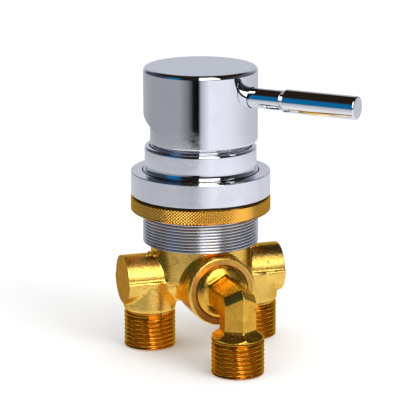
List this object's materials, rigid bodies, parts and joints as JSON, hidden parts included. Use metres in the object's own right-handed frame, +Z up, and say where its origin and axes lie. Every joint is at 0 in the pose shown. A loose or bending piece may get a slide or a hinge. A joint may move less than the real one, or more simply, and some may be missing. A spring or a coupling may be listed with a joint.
{
  "type": "single lever three way mixing valve",
  "caption": "Deck-mounted single-lever three way mixing valve: chrome lever, cap and flange over a brass body with hot and cold inlets and an outlet elbow.",
  "frame": {"origin": "on the barrel axis at the deck's top surface, under the flange gasket", "axes": "+Z up along the barrel, -Y towards the outlet elbow, the hot inlet at -X and the cold inlet at +X"},
  "size_m": [0.0846, 0.0855, 0.1147],
  "materials": {
    "cast_brass": "cast yellow brass, lightly tumbled, machined seats",
    "forged_brass": "forged brass bar with machined collar and thread",
    "turned_brass": "turned brass",
    "chrome": "polished chrome plate",
    "chrome_thread": "plated fine thread, satin",
    "rubber": "black moulded rubber",
    "washer_fibre": "black slip washer",
    "seal_rubber": "red-brown moulded seal",
    "cartridge_plastic": "ivory moulded plastic",
    "rotor_plastic": "blue moulded plastic",
    "ceramic": "lapped white ceramic",
    "steel": "turned stainless steel"
  },
  "bodies": {
    "fixed": {"valve_body": "cast_brass", "outlet_elbow": "forged_brass", "elbow_o_ring": "rubber", "threaded_sleeve": "chrome_thread", "body_o_ring": "rubber", "flange": "chrome", "flange_gasket": "rubber", "collar": "chrome", "lip_ring": "chrome", "dome_nut": "chrome", "cartridge_housing": "cartridge_plastic", "cartridge_base": "cartridge_plastic", "fixed_disc": "ceramic", "hot_port_seal": "seal_rubber", "cold_port_seal": "seal_rubber", "outlet_port_seal": "seal_rubber"},
    "carrier": {"cartridge_rotor": "rotor_plastic", "rotor_o_ring": "rubber", "stem_pin": "steel"},
    "handle": {"handle_cap": "chrome", "lever_rod": "chrome", "lever_grip": "chrome", "handle_set_screw": "steel", "stem": "turned_brass"},
    "disc_slider": {"moving_disc": "ceramic", "disc_driver": "rotor_plastic"},
    "nut_washer": {"clamp_washer": "washer_fibre"},
    "lock_nut": {"knurled_nut": "turned_brass"}
  },
  "joints": [
    {"name": "handle_turn", "type": "hinge", "parent": "fixed", "child": "carrier", "pos_m": [0, 0, 0.0249], "axis": [0, 0, 1], "range_deg": [-94, 6]},
    {"name": "handle_tilt", "type": "hinge", "parent": "carrier", "child": "handle", "pos_m": [0, 0, 0.0249], "axis": [-0.7193, -0.6947, 0], "range_deg": [0, 25]},
    {"name": "disc_slide", "type": "slide", "parent": "carrier", "child": "disc_slider", "axis": [0.6947, -0.7193, 0], "range_m": [0, 0.0069]},
    {"name": "nut_spin", "type": "hinge", "parent": "nut_washer", "child": "lock_nut", "pos_m": [0, 0, -0.0034], "axis": [0, 0, -1], "range_deg": [0, 3600]},
    {"name": "nut_travel", "type": "slide", "parent": "fixed", "child": "nut_washer", "axis": [0, 0, -1], "range_m": [0, 0.0125]}
  ],
  "couplings": [
    {"joint": "disc_slide", "follows": "handle_tilt", "m_per_rad": 0.015788},
    {"joint": "nut_travel", "follows": "nut_spin", "m_per_rad": 0.00019894}
  ]
}
